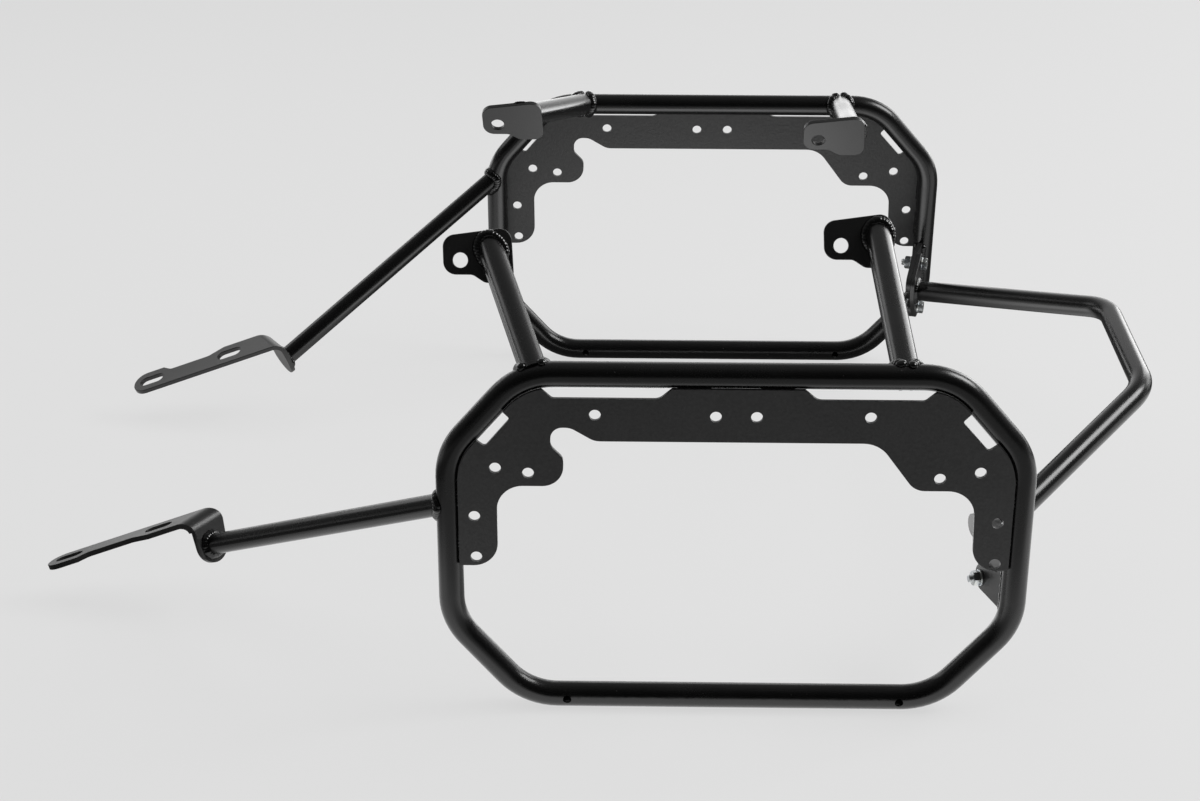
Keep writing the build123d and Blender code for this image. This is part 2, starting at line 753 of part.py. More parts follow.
# Rear bar: one tube bent twice into a wide U, its ends cut to the faces of the flanges
bar_corner = Vector(hoop_x + bar_corner_x, -bar_corner_y, bar_corner_z)
bar_aim = Vector(hoop_x + bar_aim_x, -bar_aim_y, bar_aim_z)
bar_way = (bar_aim - bar_corner).normalized()
bar_tip = bar_aim + bar_way * 40.0
flange_seat = lug_plane.offset(lug_t / 2)
flange_face = lug_plane.offset(lug_t / 2 + flange_t)
bar_reach = (flange_face.origin - bar_aim).dot(flange_face.z_dir) / bar_way.dot(flange_face.z_dir)
bar_end = lug_plane.to_local_coords(bar_aim + bar_way * bar_reach)
right_face = Plane(
    origin=(flange_face.origin.X, -flange_face.origin.Y, flange_face.origin.Z),
    x_dir=(-turn_s, -turn_c, 0),
    z_dir=(turn_c, -turn_s, 0),
)

with BuildLine() as bar_line:
    FilletPolyline(
        bar_tip,
        bar_corner,
        (bar_corner.X, -bar_corner.Y, bar_corner.Z),
        (bar_tip.X, -bar_tip.Y, bar_tip.Z),
        radius=bar_bend_r,
    )

with BuildPart() as rear_bar:
    with BuildSketch(Plane(origin=bar_tip, z_dir=bar_way * -1)):
        Circle(tube_r)
        Circle(tube_r - tube_wall, mode=Mode.SUBTRACT)
    sweep(path=bar_line.wires()[0])
    split(bisect_by=flange_face, keep=Keep.TOP)
    split(bisect_by=right_face, keep=Keep.TOP)
rear_bar.part.label = "rear_bar"
export_step(rear_bar.part, "parts/rear_bar.step")

# Flanges: plates on the bar ends that lie on the lugs, with a boss round the tube, two lobes for the bolts
# and the same rounded tip inboard
with BuildPart() as left_flange:
    with BuildSketch(flange_seat):
        with Locations((bar_end.X, bar_end.Y)):
            Circle(flange_boss_r)
        with Locations((lug_tip_out, lug_tip_z)):
            Circle(lug_tip_r)
        with Locations(*bolt_points):
            Circle(lug_lobe_r)
        make_hull()
        with Locations(*bolt_points):
            Circle(bolt_hole_r, mode=Mode.SUBTRACT)
    extrude(amount=flange_t)
left_flange.part.label = "left_flange"
export_step(left_flange.part, "parts/left_flange.step")

with BuildPart() as right_flange:
    mirror(left_flange.part, about=Plane.XZ)
right_flange.part.label = "right_flange"
export_step(right_flange.part, "parts/right_flange.step")

# Bar welds: a heavy bead round each bar end on the flange
with BuildPart() as left_bar_weld:
    with BuildSketch(Plane(origin=bar_tip, z_dir=bar_way * -1)):
        Circle(tube_r + bead)
        Circle(tube_r, mode=Mode.SUBTRACT)
    extrude(amount=80.0)
    split(bisect_by=flange_face, keep=Keep.TOP)
    split(bisect_by=flange_face.offset(bead), keep=Keep.BOTTOM)
left_bar_weld.part.label = "left_bar_weld"
export_step(left_bar_weld.part, "parts/left_bar_weld.step")

with BuildPart() as right_bar_weld:
    mirror(left_bar_weld.part, about=Plane.XZ)
right_bar_weld.part.label = "right_bar_weld"
export_step(right_bar_weld.part, "parts/right_bar_weld.step")


# Fasteners: two bolts a side through flange and lug, heads at the rear, nuts at the front
head_seat = lug_t / 2 + flange_t + washer_t
nut_seat = lug_t / 2 + washer_t
tail_end = nut_seat + nut_h + bolt_tail
head_r = head_af / sqrt(3)

with BuildPart() as left_bolts:
    with BuildSketch(lug_plane.offset(-tail_end)):
        with Locations(*bolt_points):
            Circle(bolt_d / 2)
    extrude(amount=tail_end + head_seat)
    with BuildSketch(lug_plane.offset(head_seat)):
        with Locations(*bolt_points):
            RegularPolygon(head_r, 6)
    extrude(amount=head_h)

with BuildPart() as bar_bolts:
    add(left_bolts.part)
    mirror(left_bolts.part, about=Plane.XZ)
bar_bolts.part.label = "bar_bolts"
export_step(bar_bolts.part, "parts/bar_bolts.step")

with BuildPart() as left_nuts:
    with BuildSketch(lug_plane.offset(-nut_seat)):
        with Locations(*bolt_points):
            RegularPolygon(head_r, 6)
        with Locations(*bolt_points):
            Circle((bolt_d + thread_clear) / 2, mode=Mode.SUBTRACT)
    extrude(amount=-nut_h)

with BuildPart() as bar_nuts:
    add(left_nuts.part)
    mirror(left_nuts.part, about=Plane.XZ)
bar_nuts.part.label = "bar_nuts"
export_step(bar_nuts.part, "parts/bar_nuts.step")

with BuildPart() as left_washers:
    with BuildSketch(lug_plane.offset(-lug_t / 2)):
        with Locations(*bolt_points):
            Circle(washer_d / 2)
        with Locations(*bolt_points):
            Circle(bolt_hole_r, mode=Mode.SUBTRACT)
    extrude(amount=-washer_t)
    with BuildSketch(flange_face):
        with Locations(*bolt_points):
            Circle(washer_d / 2)
        with Locations(*bolt_points):
            Circle(bolt_hole_r, mode=Mode.SUBTRACT)
    extrude(amount=washer_t)

with BuildPart() as bar_washers:
    add(left_washers.part)
    mirror(left_washers.part, about=Plane.XZ)
bar_washers.part.label = "bar_washers"
export_step(bar_washers.part, "parts/bar_washers.step")
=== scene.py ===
import json
import math

import bmesh
import bpy
from mathutils import Matrix, Vector
from mathutils.bvhtree import BVHTree

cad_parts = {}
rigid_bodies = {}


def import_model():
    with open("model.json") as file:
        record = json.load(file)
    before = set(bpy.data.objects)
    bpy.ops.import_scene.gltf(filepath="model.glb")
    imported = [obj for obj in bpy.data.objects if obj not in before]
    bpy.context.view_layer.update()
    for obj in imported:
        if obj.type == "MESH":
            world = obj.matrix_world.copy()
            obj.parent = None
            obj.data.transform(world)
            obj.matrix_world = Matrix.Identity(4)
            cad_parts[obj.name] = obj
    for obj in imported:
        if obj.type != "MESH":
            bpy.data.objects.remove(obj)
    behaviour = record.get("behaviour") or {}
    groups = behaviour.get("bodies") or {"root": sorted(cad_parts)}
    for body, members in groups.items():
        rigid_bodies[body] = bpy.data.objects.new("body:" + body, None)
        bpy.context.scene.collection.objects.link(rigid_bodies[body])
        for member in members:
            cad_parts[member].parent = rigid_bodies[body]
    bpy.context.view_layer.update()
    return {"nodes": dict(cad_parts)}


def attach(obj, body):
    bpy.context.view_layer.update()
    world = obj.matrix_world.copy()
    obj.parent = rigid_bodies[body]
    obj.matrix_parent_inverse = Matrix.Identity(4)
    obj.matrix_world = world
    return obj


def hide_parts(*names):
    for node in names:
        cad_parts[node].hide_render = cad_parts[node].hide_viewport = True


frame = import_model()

nodes = frame["nodes"]
scene_objects = bpy.context.scene.collection.objects


# Camera. A viewer stands on the left of the pair and looks down on it from about two metres,
# so the left rack is in front and the right rack shows through it.
camera_at = Vector((0.022386, -1.61343, 0.90321))
look_down = math.radians(26.49)
look_aside = math.radians(-0.95)
look_roll = math.radians(0.07)
ahead = Vector((
    math.sin(look_aside) * math.cos(look_down),
    math.cos(look_aside) * math.cos(look_down),
    -math.sin(look_down),
))
level = Vector((math.cos(look_aside), -math.sin(look_aside), 0.0))
over = level.cross(ahead)
across = level * math.cos(look_roll) + over * math.sin(look_roll)
upright = over * math.cos(look_roll) - level * math.sin(look_roll)
camera = bpy.data.objects.new("camera", bpy.data.cameras.new("camera"))
camera.data.sensor_width = 36.0
camera.data.lens = 66.0
camera.matrix_world = Matrix((across, upright, -ahead)).transposed().to_4x4()
camera.location = camera_at
scene_objects.link(camera)
bpy.context.scene.camera = camera
bpy.context.scene.view_settings.view_transform = "Standard"


# Tubes: both hoops, the stand-offs, the stays and the rear bar. Bent and coped steel tube, welded into
# racks under a semi-gloss black powder coat, which flows out smooth but keeps a faint orange peel.
class Wire:
    """A socket of a shader tree. Sums on wires add Math nodes, and node() adds any other node."""

    def __init__(self, tree, socket=None):
        self.tree = tree
        self.socket = socket

    def node(self, kind, settings, sockets, output=0):
        """Adds a node with its settings and then its sockets, and gives a wire from one output."""
        made = self.tree.nodes.new(kind)
        for name, value in settings.items():
            if name == "stops":
                ramp = made.color_ramp.elements
                while len(ramp) < len(value):
                    ramp.new(1.0)
                for stop, (place, shade) in zip(ramp, value):
                    stop.position = place
                    stop.color = (shade, shade, shade, 1.0)
            else:
                setattr(made, name, value)
        for name, value in sockets.items():
            if isinstance(value, Wire):
                self.tree.links.new(value.socket, made.inputs[name])
            else:
                made.inputs[name].default_value = value
        return Wire(self.tree, made.outputs[output])

    def sum_node(self, operation, first, second):
        return self.node("ShaderNodeMath", {"operation": operation}, {0: first, 1: second})

    def __add__(self, other):
        return self.sum_node("ADD", self, other)

    def __sub__(self, other):
        return self.sum_node("SUBTRACT", self, other)

    def __rsub__(self, other):
        return self.sum_node("SUBTRACT", other, self)

    def __mul__(self, other):
        return self.sum_node("MULTIPLY", self, other)

    def __gt__(self, other):
        return self.sum_node("GREATER_THAN", self, other)

    __radd__ = __add__
    __rmul__ = __mul__

    def into(self, shader, name):
        """Leads this wire into a socket of a shader that is already there."""
        self.tree.links.new(self.socket, shader.inputs[name])


def new_finish(name):
    """A material with its main shader and the Object coordinates that its patterns lie on."""
    finish = bpy.data.materials.new(name)
    finish.use_nodes = True
    place = Wire(finish.node_tree).node("ShaderNodeTexCoord", {}, {}, "Object")
    return finish, finish.node_tree.nodes["Principled BSDF"], place


def noise(place, scale, detail):
    """A cloudy pattern with that many patches to the metre."""
    return place.node("ShaderNodeTexNoise", {}, {"Vector": place, "Scale": scale, "Detail": detail})


def mix_colour(factor, first, second):
    """From the first colour to the second as the factor goes from 0 to 1."""
    return factor.node(
        "ShaderNodeMix", {"data_type": "RGBA"}, {"Factor": factor, "A": first, "B": second}, "Result"
    )


def grey(shade):
    """A neutral colour of that shade."""
    return (shade, shade, shade, 1.0)


def powder_coat(name, shade, roughness, grain_mm, relief_mm):
    """Black powder coat: a fine grain in relief, slow drifts in gloss and a little settled dust."""
    grain_scale = 1000.0 / grain_mm
    grain_tone = 1.5
    grain_gloss = 0.02
    drift_scale = 16.0
    drift_tone = 1.2
    drift_gloss = 0.14
    dust_scale = 420.0
    dust_limit = 0.78
    dust_cover = 0.1
    dust_gloss = 0.5
    dust_colour = (0.16, 0.155, 0.15, 1.0)
    darkest = shade * 0.72
    lightest = shade * 1.28
    finish, shader, place = new_finish(name)
    grain = noise(place, grain_scale, detail=2.5)
    drift = noise(place, drift_scale, detail=3.0)
    speck = (noise(place, dust_scale, detail=1.0) > dust_limit) * dust_cover
    tone = (grain - 0.5) * grain_tone + (drift - 0.5) * drift_tone + 0.5
    coat = mix_colour(tone, grey(darkest), grey(lightest))
    gloss_loss = (drift - 0.5) * drift_gloss + (grain - 0.5) * grain_gloss + speck * dust_gloss
    relief = place.node(
        "ShaderNodeBump", {}, {"Strength": 1.0, "Distance": relief_mm / 1000.0, "Height": grain}
    )
    mix_colour(speck, coat, dust_colour).into(shader, "Base Color")
    (roughness + gloss_loss).into(shader, "Roughness")
    relief.into(shader, "Normal")
    shader.inputs["Specular IOR Level"].default_value = 0.5
    return finish


tube_coat = powder_coat("tube_coat", shade=0.003, roughness=0.26, grain_mm=1.3, relief_mm=0.003)
tubes = [
    "left_hoop", "right_hoop", "rear_bar", "left_stay", "right_stay", "left_front_standoff",
    "left_rear_standoff", "right_front_standoff", "right_rear_standoff",
]
for tube in tubes:
    nodes[tube].material_slots[0].material = tube_coat


# Carrier plates. Laser-cut steel sheet let into the top of each hoop, welded from behind and coated with
# it. The powder lies thicker and more textured on the flat faces and pulls the cut edges round.
def settle(draft, finish, slot, *replaced):
    """Turns the modifiers of a draft into plain mesh, coats it and fixes it to the frame."""
    bpy.context.view_layer.update()
    mesh = bpy.data.meshes.new_from_object(draft.evaluated_get(bpy.context.evaluated_depsgraph_get()))
    draft.modifiers.clear()
    draft.data = mesh
    mesh.materials.clear()
    mesh.materials.append(finish)
    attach(draft, "root")
    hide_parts(*replaced)
    return draft


def rounded_copy(node, name, edge_mm, finish, slot):
    """A copy of a CAD sheet piece with its cut edges rounded, in place of that node."""
    same_point = 2e-6
    flat_within = math.radians(0.6)
    edge_from = math.radians(50.0)
    sheet = nodes[node].data.copy()
    for layer in ("custom_normal", "sharp_edge", "sharp_face"):
        if layer in sheet.attributes:
            sheet.attributes.remove(sheet.attributes[layer])
    shell = bmesh.new()
    shell.from_mesh(sheet)
    bmesh.ops.remove_doubles(shell, verts=shell.verts, dist=same_point)
    bmesh.ops.dissolve_limit(
        shell, angle_limit=flat_within, verts=shell.verts, edges=shell.edges, delimit={"NORMAL"}
    )
    shell.to_mesh(sheet)
    shell.free()
    draft = bpy.data.objects.new(name, sheet)
    scene_objects.link(draft)
    sheet.shade_smooth()
    rounding = draft.modifiers.new("cut_edge", "BEVEL")
    rounding.width = edge_mm / 1000.0
    rounding.segments = 2
    rounding.limit_method = "ANGLE"
    rounding.angle_limit = edge_from
    rounding.harden_normals = True
    return settle(draft, finish, slot, node)


plate_coat = powder_coat("plate_coat", shade=0.028, roughness=0.46, grain_mm=2.4, relief_mm=0.2)
plate_edge_mm = 0.45
for side in ("left", "right"):
    rounded_copy(f"{side}_plate", f"{side}_carrier_plate", plate_edge_mm, plate_coat, "plate_black")


# Small sheet parts: the four ears that bolt to the bike, the two slotted front brackets, and the lugs
# and flanges of the rear bar. Stamped or folded 4 mm steel with tumbled edges, coated like the tubes.
sheet_coat = powder_coat("sheet_coat", shade=0.012, roughness=0.36, grain_mm=1.4, relief_mm=0.03)
sheet_edge_mm = 0.6
for side in ("left", "right"):
    for part in ("front_ear", "rear_ear", "bracket", "lug", "flange"):
        rounded_copy(f"{side}_{part}", f"{side}_{part}_sheet", sheet_edge_mm, sheet_coat, "sheet_black")


# Weld beads. A welder lays overlapping drops along every joint, and the coat runs over them smooth and
# glossy. Each path is found by looking along the joining tube at the piece that it lands on.
weld_coat = powder_coat("weld_coat", shade=0.003, roughness=0.11, grain_mm=3.0, relief_mm=0.02)
drop_step = 0.0023
drop_lift = 0.0006
drop_size = (0.004, 0.0039, 0.0027)
drop_least = (0.88, 0.88, 0.86)
drop_most = (1.12, 1.12, 1.14)
drop_seed = 7
drop_segments = 10
drop_rings = 6


def surface_of(name):
    """The surface of a CAD node, to find where a joint runs."""
    mesh = nodes[name].data
    return BVHTree.FromPolygons([v.co for v in mesh.vertices], [f.vertices for f in mesh.polygons])


def ring_path(start, aim, radius, target):
    """Where a tube of that radius, looked along from start to aim, lands on the target."""
    looks = 240
    past_aim = 0.04
    run = (aim - start).normalized()
    side = run.orthogonal().normalized()
    other = run.cross(side)
    farthest = (aim - start).length + past_aim
    path = []
    for look in range(looks):
        turn = 2.0 * math.pi * look / looks
        out = side * math.cos(turn) + other * math.sin(turn)
        place, normal, _, _ = target.ray_cast(start + out * radius, run)
        if place is not None and (place - start).dot(run) < farthest:
            path.append((place, (normal + out).normalized()))
        else:
            path.append(None)
    return path


def line_path(start, end, run, target):
    """Where a flat edge from start to end, pushed along run, lands on the target."""
    looks = 60
    path = []
    for look in range(looks + 1):
        place, normal, _, _ = target.ray_cast(start.lerp(end, look / looks), run)
        path.append(None if place is None else (place, (normal - run).normalized()))
    return path


def drops_on(path, closed):
    """Evenly spaced drops along a path: place, outward lean and direction of travel."""
    drops = []
    since = drop_step
    last = None
    for here, after in zip(path, path[1:] + (path[:1] if closed else [])):
        if here is None or after is None:
            last = None
            continue
        if last is not None:
            since += (here[0] - last).length
        last = here[0]
        if since >= drop_step:
            drops.append((here[0], here[1], (after[0] - here[0]).normalized()))
            since = 0.0
    return drops


def open_tree(name, inputs):
    """A Geometry Nodes tree from points to mesh, and the identifiers of its named inputs."""
    tree = bpy.data.node_groups.new(name, "GeometryNodeTree")
    tree.interface.new_socket("Geometry", in_out="INPUT", socket_type="NodeSocketGeometry")
    identifiers = {}
    for label, kind in inputs.items():
        socket = tree.interface.new_socket(label, in_out="INPUT", socket_type=kind)
        identifiers[label] = socket.identifier
    tree.interface.new_socket("Geometry", in_out="OUTPUT", socket_type="NodeSocketGeometry")
    return tree, identifiers


def vector_layer(tree, name):
    """Reads one vector layer of the points."""
    layer = tree.nodes.new("GeometryNodeInputNamedAttribute")
    layer.data_type = "FLOAT_VECTOR"
    layer.inputs["Name"].default_value = name
    return layer.outputs["Attribute"]


def weld_tree():
    """Geometry Nodes: one flattened drop on every point, turned with the joint and uneven in size."""
    tree, identifiers = open_tree(
        "weld_drops", {"Drop size": "NodeSocketVector", "Finish": "NodeSocketMaterial"}
    )
    make = tree.nodes.new
    link = tree.links.new
    given = make("NodeGroupInput")
    result = make("NodeGroupOutput")
    drop = make("GeometryNodeMeshUVSphere")
    drop.inputs["Segments"].default_value = drop_segments
    drop.inputs["Rings"].default_value = drop_rings
    drop.inputs["Radius"].default_value = 1.0
    stand = make("FunctionNodeAlignRotationToVector")
    stand.axis = "Z"
    face_on = make("FunctionNodeAlignRotationToVector")
    face_on.axis = "X"
    face_on.pivot_axis = "Z"
    uneven = make("FunctionNodeRandomValue")
    uneven.data_type = "FLOAT_VECTOR"
    uneven.inputs["Min"].default_value = drop_least
    uneven.inputs["Max"].default_value = drop_most
    uneven.inputs["Seed"].default_value = drop_seed
    size = make("ShaderNodeVectorMath")
    size.operation = "MULTIPLY"
    scatter = make("GeometryNodeInstanceOnPoints")
    realize = make("GeometryNodeRealizeInstances")
    smooth = make("GeometryNodeSetShadeSmooth")
    paint = make("GeometryNodeSetMaterial")
    link(vector_layer(tree, "lean"), stand.inputs["Vector"])
    link(stand.outputs["Rotation"], face_on.inputs["Rotation"])
    link(vector_layer(tree, "travel"), face_on.inputs["Vector"])
    link(uneven.outputs["Value"], size.inputs[0])
    link(given.outputs["Drop size"], size.inputs[1])
    link(given.outputs["Geometry"], scatter.inputs["Points"])
    link(drop.outputs["Mesh"], scatter.inputs["Instance"])
    link(face_on.outputs["Rotation"], scatter.inputs["Rotation"])
    link(size.outputs["Vector"], scatter.inputs["Scale"])
    link(scatter.outputs["Instances"], realize.inputs["Geometry"])
    link(realize.outputs["Geometry"], smooth.inputs["Geometry"])
    link(smooth.outputs["Geometry"], paint.inputs["Geometry"])
    link(given.outputs["Finish"], paint.inputs["Material"])
    link(paint.outputs["Geometry"], result.inputs["Geometry"])
    return tree, identifiers


def scattered(name, places, layers, tree, inputs):
    """A draft of points with their vector layers, and the tree that puts a shape on each of them."""
    points = bpy.data.meshes.new(name)
    points.from_pydata(places, [], [])
    for layer, vectors in layers.items():
        values = points.attributes.new(layer, "FLOAT_VECTOR", "POINT").data
        for value, vector in zip(values, vectors):
            value.vector = vector
    draft = bpy.data.objects.new(name, points)
    scene_objects.link(draft)
    scatter = draft.modifiers.new(tree.name, "NODES")
    scatter.node_group = tree
    for identifier, value in inputs.items():
        scatter[identifier] = value
    return draft


weld_nodes, weld_inputs = weld_tree()


def lay_welds(name, paths, size, *replaced):
    """Drops along the paths, as one piece in place of the CAD beads."""
    drops = [drop for path, closed in paths for drop in drops_on(path, closed)]
    draft = scattered(
        name,
        [place + lean * drop_lift for place, lean, _ in drops],
        {"lean": [lean for _, lean, _ in drops], "travel": [travel for _, _, travel in drops]},
        weld_nodes,
        {weld_inputs["Drop size"]: size, weld_inputs["Finish"]: weld_coat},
    )
    return settle(draft, weld_coat, "weld_black", *replaced)


def flip(point, side):
    """A point of the left rack, or its mirror image on the right one."""
    return Vector((point[0], point[1] if side == "left" else -point[1], point[2]))


standoff_r = 0.0095
stay_r = 0.008
bar_r = 0.009
standoff_ends = {
    "left_front": ((-0.043644, -0.279892, 0.25812), (-0.080344, -0.147578, 0.29249)),
    "left_rear": ((0.206656, -0.279892, 0.25812), (0.201156, -0.114678, 0.29249)),
    "right_front": ((-0.022344, -0.279892, 0.25812), (-0.070844, -0.147578, 0.29249)),
    "right_rear": ((0.206656, -0.279892, 0.25812), (0.201156, -0.114678, 0.29249)),
}
stay_ends = {
    "left": ((-0.103944, -0.2845, 0.1609), (-0.297029, -0.163254, 0.054981)),
    "right": ((-0.103944, -0.28323, 0.1877), (-0.288599, -0.163254, 0.058133)),
}
bar_end = (0.279594, -0.226515, 0.100519)
bar_run = (0.656, 0.715, 0.244)
bar_look = 0.05
lug_at = Vector((0.275656, -0.235, 0.0))
lug_in = Vector((-0.258819, 0.965926, 0.0))
lug_back = Vector((0.965926, 0.258819, 0.0))
lug_half = 0.002
lug_weld_low = Vector((0.0, 0.0, 0.076))
lug_weld_high = Vector((0.0, 0.0, 0.124))
for side in ("left", "right"):
    hoop = surface_of(f"{side}_hoop")
    standoff_paths = []
    for end in ("front", "rear"):
        foot, seat = [flip(point, side) for point in standoff_ends[f"{side}_{end}"]]
        ear = surface_of(f"{side}_{end}_ear")
        middle = foot.lerp(seat, 0.5)
        standoff_paths.append((ring_path(middle, foot, standoff_r, hoop), True))
        standoff_paths.append((ring_path(middle, seat, standoff_r, ear), True))
    lay_welds(f"{side}_standoff_beads", standoff_paths, drop_size, f"{side}_standoff_welds")
    foot, seat = [flip(point, side) for point in stay_ends[side]]
    bracket = surface_of(f"{side}_bracket")
    middle = foot.lerp(seat, 0.5)
    stay_paths = [
        (ring_path(middle, foot, stay_r, hoop), True),
        (ring_path(middle, seat, stay_r, bracket), True),
    ]
    lay_welds(f"{side}_stay_beads", stay_paths, drop_size, f"{side}_stay_welds")
    flange = surface_of(f"{side}_flange")
    seat = flip(bar_end, side)
    start = seat + flip(bar_run, side) * bar_look
    bar_paths = [(ring_path(start, seat, bar_r, flange), True)]
    lay_welds(f"{side}_bar_bead", bar_paths, drop_size, f"{side}_bar_weld")
    lug_paths = []
    for face in (-lug_half, lug_half):
        low, high = [
            flip(lug_at + lug_back * face + height, side) for height in (lug_weld_low, lug_weld_high)
        ]
        lug_paths.append((line_path(low, high, flip(-lug_in, side), hoop), False))
    lay_welds(f"{side}_lug_beads", lug_paths, drop_size, f"{side}_lug_welds")


# Plate welds. Short stitches in the corner between the back of each plate and the tube, laid from the
# inboard side so that the outer face stays clean.
rack_at = Vector((0.093356, -0.2917, 0.009))
rack_up = Vector((0.0, 0.047347, 0.998878))
rack_out = Vector((0.0, -0.998878, 0.047347))
leg_u = 0.1973
top_v = 0.2494
top_stitch_u = 0.028
corner_in = 0.0067
plate_back = 0.006
stitch_half = 0.011
stitch_steps = 20
stitch_drop = (0.002, 0.0024, 0.0018)
stitches = [
    (-leg_u + corner_in, 0.125, "up", 1.0),
    (-leg_u + corner_in, 0.165, "up", 1.0),
    (leg_u - corner_in, 0.133, "up", -1.0),
    (leg_u - corner_in, 0.168, "up", -1.0),
    (-top_stitch_u, top_v - corner_in, "along", 0.0),
    (top_stitch_u, top_v - corner_in, "along", 0.0),
]
for side in ("left", "right"):
    paths = []
    for along, up, way, inward in stitches:
        lean = Vector((inward, 0.0, 0.0)) - rack_out
        if way == "along":
            lean = -rack_up - rack_out
        path = []
        for step in range(-stitch_steps, stitch_steps + 1):
            slide = step / stitch_steps * stitch_half
            here = rack_at + rack_out * plate_back
            here = here + Vector((along + (slide if way == "along" else 0.0), 0.0, 0.0))
            here = here + rack_up * (up + (slide if way == "up" else 0.0))
            path.append((flip(here, side), flip(lean.normalized(), side)))
        paths.append((path, False))
    lay_welds(f"{side}_plate_stitches", paths, stitch_drop, f"{side}_plate_welds")


# Fasteners of the rear bar: M6 hexagon bolts, nuts and washers in bright zinc with a bluish passivation.
# The bolts go through flange and lug, and rolled threads show on the tails that stand out of the nuts.
def zinc_plate():
    """Bright zinc: a fine brushed grain, and slow drifts from blue to straw."""
    blue = (0.52, 0.58, 0.66, 1.0)
    straw = (0.68, 0.66, 0.58, 1.0)
    drift_scale = 160.0
    drift_gloss = 0.16
    brush_scale = 2200.0
    brush_depth = 0.00002
    roughness = 0.24
    finish, shader, place = new_finish("zinc_plate")
    drift = noise(place, drift_scale, detail=2.0)
    brush = noise(place, brush_scale, detail=2.0)
    relief = place.node("ShaderNodeBump", {}, {"Strength": 0.6, "Distance": brush_depth, "Height": brush})
    mix_colour(drift, blue, straw).into(shader, "Base Color")
    (roughness + drift * drift_gloss).into(shader, "Roughness")
    relief.into(shader, "Normal")
    shader.inputs["Metallic"].default_value = 1.0
    return finish


zinc = zinc_plate()
bolt_r = 0.003
across_flats = 0.010
hex_r = across_flats / math.sqrt(3.0)
hex_chamfer = 0.0006
hex_face_r = hex_r * 0.88
head_h = 0.004
nut_h = 0.005
nut_gap = 0.00005
washer_r = 0.006
washer_t = 0.0016
washer_gap = 0.0002
washer_edge = 0.0003
flange_t = 0.004
head_seat = lug_half + flange_t + washer_t
nut_seat = lug_half + washer_t
tail_out = 0.003
tail_end = nut_seat + nut_h + tail_out
tail_chamfer = 0.0006
tail_tip_r = bolt_r * 0.8
thread_pitch = 0.001
thread_root_r = bolt_r * 0.86
bolt_sides = 28
round_sides = 36
bolt_spots = ((-0.0114, 0.1195), (-0.006, 0.079))
smooth_within = math.radians(28.0)


def round_row(shape, radius, height, count):
    """A ring of points about Z, or one point on the axis in place of each of them."""
    if radius == 0.0:
        return [shape.verts.new((0.0, 0.0, height))] * count
    turns = [2.0 * math.pi * step / count for step in range(count)]
    return [shape.verts.new((radius * math.cos(turn), radius * math.sin(turn), height)) for turn in turns]


def hex_row(shape, height, count):
    """A ring of points on the six flats."""
    row = []
    for step in range(count):
        turn = 2.0 * math.pi * step / count
        within = (turn + math.pi / 6.0) % (math.pi / 3.0) - math.pi / 6.0
        reach = hex_r * math.cos(math.pi / 6.0) / math.cos(within)
        row.append(shape.verts.new((reach * math.cos(turn), reach * math.sin(turn), height)))
    return row


def skin(shape, rows):
    """Faces from each row to the next, which are triangles where a row is one point."""
    count = len(rows[0])
    for below, above in zip(rows, rows[1:]):
        for step in range(count):
            after = (step + 1) % count
            corners = [below[step], below[after], above[after], above[step]]
            shape.faces.new(list(dict.fromkeys(corners)))
    return shape


def turned(profile, count, bored):
    """A turned shape from (radius, height) pairs, closed on the axis or round a bore."""
    shape = bmesh.new()
    rows = [round_row(shape, radius, height, count) for radius, height in profile]
    if bored:
        rows.append(rows[0])
    return skin(shape, rows)


def hexagon(bottom, top, bore):
    """A chamfered hexagon between two heights, with a bore where one is given."""
    shape = bmesh.new()
    rows = [
        round_row(shape, bore, bottom, round_sides),
        round_row(shape, hex_face_r, bottom, round_sides),
        hex_row(shape, bottom + hex_chamfer, round_sides),
        hex_row(shape, top - hex_chamfer, round_sides),
        round_row(shape, hex_face_r, top, round_sides),
        round_row(shape, bore, top, round_sides),
    ]
    if bore:
        rows.append(rows[0])
    return skin(shape, rows)


def joined(name, shapes):
    """Several closed shapes in one mesh, with their faces turned outwards."""
    whole = bmesh.new()
    for shape in shapes:
        bmesh.ops.recalc_face_normals(shape, faces=shape.faces)
        part = bpy.data.meshes.new("part")
        shape.to_mesh(part)
        shape.free()
        whole.from_mesh(part)
        bpy.data.meshes.remove(part)
    mesh = bpy.data.meshes.new(name)
    whole.to_mesh(mesh)
    whole.free()
    return mesh


def threaded_shank():
    """The bolt's shank from its tip to its head, with threads on the tail."""
    profile = [(0.0, -tail_end), (tail_tip_r, -tail_end)]
    height = -tail_end + tail_chamfer
    while height < -nut_seat:
        profile.append((thread_root_r, height))
        profile.append((bolt_r, height + thread_pitch * 0.5))
        height += thread_pitch
    profile += [(bolt_r, height), (bolt_r, head_seat), (0.0, head_seat)]
    return turned(profile, bolt_sides, False)


def washer(low, high):
    """A flat washer between two heights, with its rims broken."""
    bore = bolt_r + washer_gap
    profile = [
        (bore, low), (washer_r - washer_edge, low), (washer_r, low + washer_edge),
        (washer_r, high - washer_edge), (washer_r - washer_edge, high), (bore, high),
    ]
    return turned(profile, round_sides, True)


